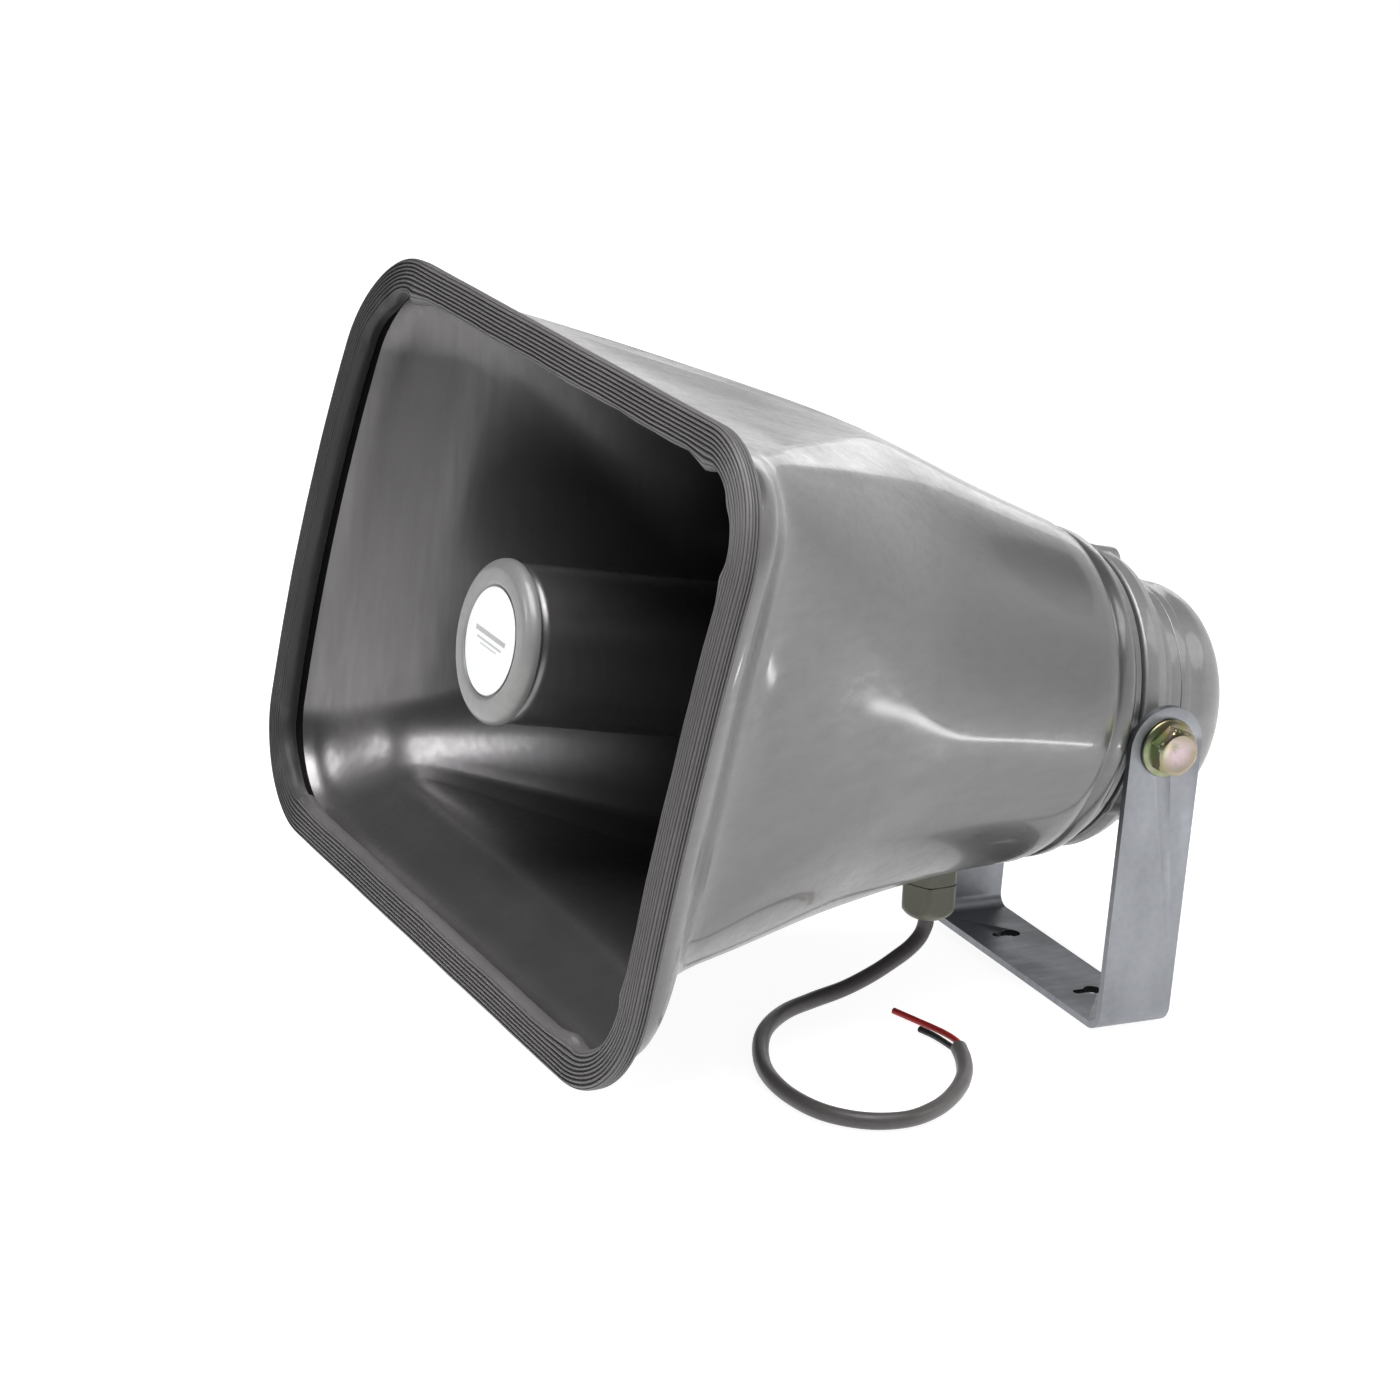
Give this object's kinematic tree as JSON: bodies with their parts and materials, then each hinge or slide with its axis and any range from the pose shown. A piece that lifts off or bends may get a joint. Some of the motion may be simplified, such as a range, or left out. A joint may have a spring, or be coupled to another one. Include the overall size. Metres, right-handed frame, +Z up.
{
  "type": "horn loudspeaker",
  "caption": "Re-entrant horn loudspeaker with a rectangular pressed bell, rubber mouth trim and round driver cover, on a tilting U-bracket, with a short bare-ended cable.",
  "frame": {"origin": "middle of the underside of the bracket's base", "axes": "+Z up from the mounting surface, -Y towards the mouth, X across the mouth"},
  "size_m": [0.2938, 0.2849, 0.2344],
  "materials": {
    "enamel": "satin gloss grey enamel on pressed and cast aluminium",
    "enamel_inner": "the same enamel, thinner and duller inside",
    "nose_paint": "light grey enamel, satin",
    "label": "printed white film, satin",
    "steel": "plain turned steel",
    "trim_rubber": "ribbed dark grey rubber, matte",
    "seal_rubber": "black rubber, matte",
    "black_plastic": "moulded black plastic",
    "diaphragm_film": "amber resin-bonded cloth",
    "coil_wire": "enamelled copper wire",
    "ferrite": "sintered ferrite, matte",
    "gland_plastic": "olive grey moulded plastic, satin",
    "cable_sheath": "dark grey sheath, matte",
    "core_red": "red insulation",
    "core_black": "black insulation",
    "zinc": "bright zinc plate with a faint grain",
    "yellow_zinc": "yellow passivated zinc with a pink and green sheen"
  },
  "bodies": {
    "horn": {"bell": "enamel", "bell_trim": "trim_rubber", "reflector": "enamel_inner", "nose_ring": "nose_paint", "label_disc": "label", "throat_tube": "enamel_inner", "reflector_spider": "steel", "rear_flange": "enamel", "bell_gasket": "seal_rubber", "phase_plug": "black_plastic", "diaphragm_ring": "black_plastic", "top_plate": "steel", "magnet": "ferrite", "yoke": "steel", "driver_cover": "enamel", "cover_seal": "seal_rubber", "inner_cable": "cable_sheath", "flange_screw_1": "zinc", "flange_screw_2": "zinc", "flange_screw_3": "zinc", "cover_screw_1": "zinc", "cover_screw_2": "zinc", "cover_screw_3": "zinc", "terminal_red": "yellow_zinc", "terminal_black": "yellow_zinc", "gland_body": "gland_plastic", "gland_seal": "seal_rubber", "gland_nut": "gland_plastic", "gland_locknut": "gland_plastic", "cable": "cable_sheath", "core_red": "core_red", "core_black": "core_black", "pivot_bolt_left": "yellow_zinc", "pivot_bolt_right": "yellow_zinc", "pivot_washer_left": "zinc", "pivot_washer_right": "zinc"},
    "bracket_body": {"bracket": "zinc"},
    "diaphragm_body": {"diaphragm": "diaphragm_film", "voice_coil": "coil_wire"}
  },
  "joints": [
    {"name": "bracket_swing", "type": "hinge", "parent": "horn", "child": "bracket_body", "pos_m": [0, 0, 0.1015], "axis": [1, 0, 0], "range_deg": [-12, 172]},
    {"name": "diaphragm_travel", "type": "slide", "parent": "horn", "child": "diaphragm_body", "axis": [0, -0.9871, 0.1599], "range_m": [-0.0003, 0.0003], "stiffness_N_per_m": 2000}
  ]
}
